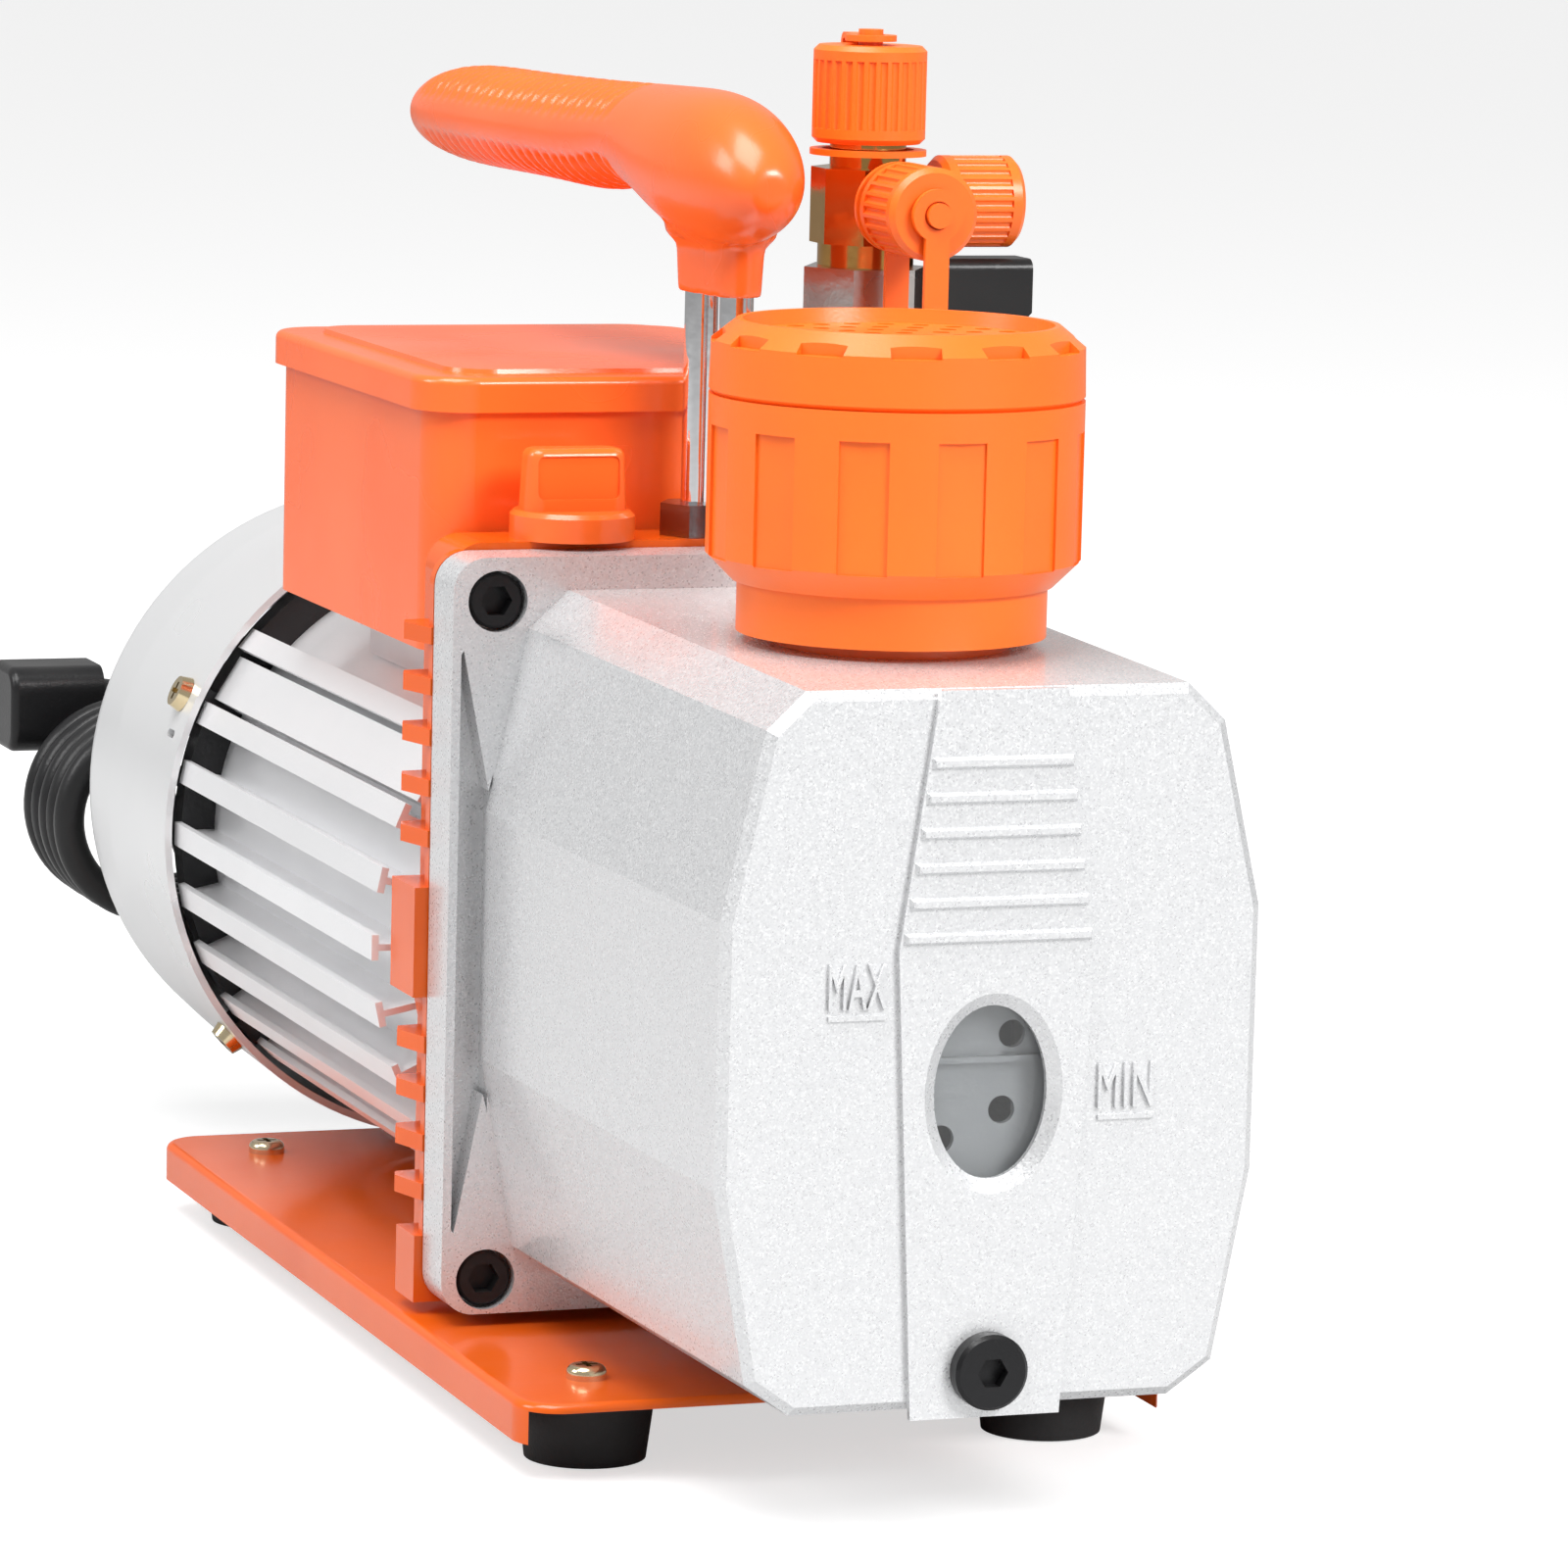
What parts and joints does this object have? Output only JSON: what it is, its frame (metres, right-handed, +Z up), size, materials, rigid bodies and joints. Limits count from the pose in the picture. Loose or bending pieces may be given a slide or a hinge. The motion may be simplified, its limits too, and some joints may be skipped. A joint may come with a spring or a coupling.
{
  "type": "rotary vane vacuum pump",
  "caption": "Direct-drive rotary vane vacuum pump: finned motor with fan cover, oil box with sight glass, exhaust filter, ball valve, capped flare ports and carrying handle.",
  "frame": {"origin": "on the floor under the middle of the pump, centre of its box without the cord", "axes": "+X to the valve lever's side, +Y back along the shaft to the fan, +Z up"},
  "size_m": [0.1255, 0.448, 0.2411],
  "materials": {
    "orange_paint": "gloss",
    "silver_paint": "satin",
    "motor_metal": "satin",
    "cover_paint": "satin",
    "black_paint": "matte",
    "orange_plastic": "gloss",
    "black_plastic": "satin",
    "grey_plastic": "matte",
    "brass": "polished",
    "nickel": "satin",
    "post_chrome": "polished",
    "black_steel": "satin",
    "gold_screw": "satin",
    "steel": "brushed",
    "iron": "cast",
    "copper": "satin",
    "rubber": "matte",
    "glass": "clear",
    "filter_media": "matte",
    "cord_black": "satin"
  },
  "bodies": {
    "pump": {"base_plate": "orange_paint", "rubber_feet": "rubber", "foot_screws": "gold_screw", "body_bolts": "steel", "oil_box": "silver_paint", "oil_box_gasket": "rubber", "oil_box_bolts": "black_steel", "sight_glass": "glass", "sight_glass_baffle": "grey_plastic", "pump_body": "orange_paint", "pump_cylinder": "iron", "pump_end_plate": "iron", "pump_screws": "black_steel", "exhaust_flap": "steel", "shaft_seal": "rubber", "ball_bearings": "steel", "stator_core": "steel", "windings": "copper", "motor_housing": "motor_metal", "rear_shield": "black_paint", "tie_bolts": "steel", "fan_cover": "cover_paint", "cover_screws": "gold_screw", "terminal_box": "orange_plastic", "terminal_lid": "orange_plastic", "capacitor": "grey_plastic", "terminal_block": "grey_plastic", "switch_frame": "black_plastic", "cord_gland": "black_plastic", "cord_lead": "cord_black", "cord_hank": "cord_black", "cord_plug": "cord_black", "filter_housing": "orange_plastic", "filter_cap": "orange_plastic", "filter_element": "filter_media", "handle_grip": "orange_plastic", "handle_posts": "post_chrome", "post_nut": "post_chrome", "valve_body": "nickel", "inlet_tee": "brass"},
    "rotor": {"motor_shaft": "steel", "motor_rotor": "steel", "fan": "black_plastic", "pump_rotor": "iron", "vanes": "black_plastic", "vane_springs": "steel"},
    "valve": {"valve_ball": "post_chrome", "valve_lever": "black_plastic"},
    "filler_lift": {"filler_seal": "rubber"},
    "filler_turn": {"filler_cap": "orange_plastic"},
    "top_lift": {"top_strap": "orange_plastic"},
    "top_turn": {"top_cap": "orange_plastic"},
    "front_lift": {"front_strap": "orange_plastic"},
    "front_turn": {"front_cap": "orange_plastic"},
    "side_lift": {"side_cap_seal": "rubber"},
    "side_turn": {"side_cap": "orange_plastic"},
    "drain_lift": {"drain_seal": "rubber"},
    "drain_turn": {"drain_plug": "black_steel"},
    "switch": {"switch_rocker": "black_plastic"}
  },
  "joints": [
    {"name": "shaft_spin", "type": "hinge", "parent": "pump", "child": "rotor", "pos_m": [0, 0.0426, 0.0766], "axis": [0, 1, 0], "continuous": true},
    {"name": "valve_turn", "type": "hinge", "parent": "pump", "child": "valve", "pos_m": [0.0259, -0.0398, 0.173], "axis": [1, 0, 0], "range_deg": [0, 90]},
    {"name": "rocker_tip", "type": "hinge", "parent": "pump", "child": "switch", "pos_m": [-0.024, 0.0716, 0.151], "axis": [1, 0, 0], "range_deg": [-12, 0]},
    {"name": "filler_lift", "type": "slide", "parent": "pump", "child": "filler_lift", "axis": [0, 0, 1], "range_m": [0, 0.009]},
    {"name": "filler_turn", "type": "hinge", "parent": "filler_lift", "child": "filler_turn", "pos_m": [-0.0281, -0.04, 0.159], "axis": [0, 0, 1], "range_deg": [0, 2162]},
    {"name": "top_lift", "type": "slide", "parent": "pump", "child": "top_lift", "axis": [0, 0, 1], "range_m": [0, 0.01128]},
    {"name": "top_turn", "type": "hinge", "parent": "top_lift", "child": "top_turn", "pos_m": [0.0259, -0.0398, 0.23], "axis": [0, 0, 1], "range_deg": [0, 2882]},
    {"name": "front_lift", "type": "slide", "parent": "pump", "child": "front_lift", "axis": [0, -1, 0], "range_m": [0, 0.01143]},
    {"name": "front_turn", "type": "hinge", "parent": "front_lift", "child": "front_turn", "pos_m": [0.0259, -0.0648, 0.2106], "axis": [0, -1, 0], "range_deg": [0, 3242]},
    {"name": "side_lift", "type": "slide", "parent": "pump", "child": "side_lift", "axis": [1, 0, 0], "range_m": [0, 0.01016]},
    {"name": "side_turn", "type": "hinge", "parent": "side_lift", "child": "side_turn", "pos_m": [0.0459, -0.0398, 0.2106], "axis": [1, 0, 0], "range_deg": [0, 2882]},
    {"name": "drain_lift", "type": "slide", "parent": "pump", "child": "drain_lift", "axis": [0, -1, 0], "range_m": [0, 0.01]},
    {"name": "drain_turn", "type": "hinge", "parent": "drain_lift", "child": "drain_turn", "pos_m": [0, -0.1794, 0.0305], "axis": [0, -1, 0], "range_deg": [0, 2882]}
  ],
  "couplings": [
    {"joint": "filler_turn", "follows": "filler_lift", "rad_per_m": 4188.8},
    {"joint": "top_turn", "follows": "top_lift", "rad_per_m": 4456.2},
    {"joint": "front_turn", "follows": "front_lift", "rad_per_m": 4947.4},
    {"joint": "side_turn", "follows": "side_lift", "rad_per_m": 4947.4},
    {"joint": "drain_turn", "follows": "drain_lift", "rad_per_m": 5026.5}
  ]
}
